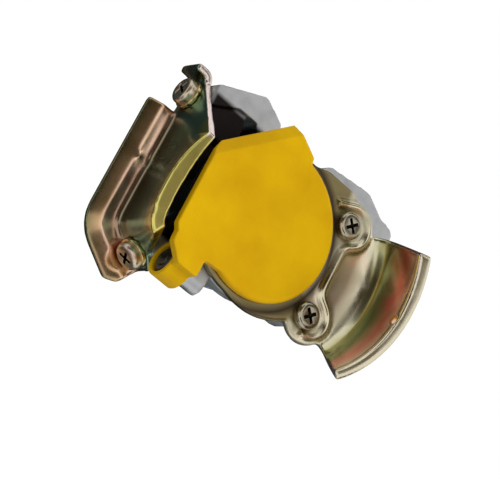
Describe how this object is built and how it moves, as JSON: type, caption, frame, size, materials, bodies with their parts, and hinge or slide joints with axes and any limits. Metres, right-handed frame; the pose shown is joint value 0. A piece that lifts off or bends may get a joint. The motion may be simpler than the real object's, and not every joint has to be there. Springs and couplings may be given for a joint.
{
  "type": "gladhand air brake coupler",
  "caption": "Palm coupling for a trailer's air brake hose, with a cast body, a pressed claw and guide that lock into a mating half, and a sprung flip lid over the seal.",
  "frame": {"origin": "centre of the threaded port's mouth, on the seal's axis", "axes": "+Z from the port to the sealing face, +X to the claw, +Y to the lid's finger tab"},
  "size_m": [0.091, 0.0761, 0.064],
  "materials": {
    "casting": "die-cast, matte",
    "seal": "moulded rubber",
    "plated_sheet": "pressed steel sheet, yellow zinc plated",
    "plated_screw": "zinc plated",
    "plated_washer": "yellow zinc plated",
    "lid_plastic": "yellow moulded plastic, satin",
    "pin_steel": "bare steel"
  },
  "bodies": {
    "base": {"body": "casting", "seal_ring": "seal", "claw_plate": "plated_sheet", "claw_screw_upper": "plated_screw", "claw_screw_lower": "plated_screw", "guide_bracket": "plated_sheet", "guide_screw_upper": "plated_screw", "guide_screw_lower": "plated_screw", "guide_washer_upper": "plated_washer", "guide_washer_lower": "plated_washer", "hinge_pin": "pin_steel", "pin_clip": "pin_steel", "lid_spring": "pin_steel"},
    "lid": {"lid": "lid_plastic"}
  },
  "joints": [
    {"name": "lid_hinge", "type": "hinge", "parent": "base", "child": "lid", "pos_m": [-0.0185, -0.0276, 0.0345], "axis": [1, 0, 0], "range_deg": [0, 105], "stiffness_Nm_per_rad": 0.03, "springref_deg": -57.3}
  ]
}
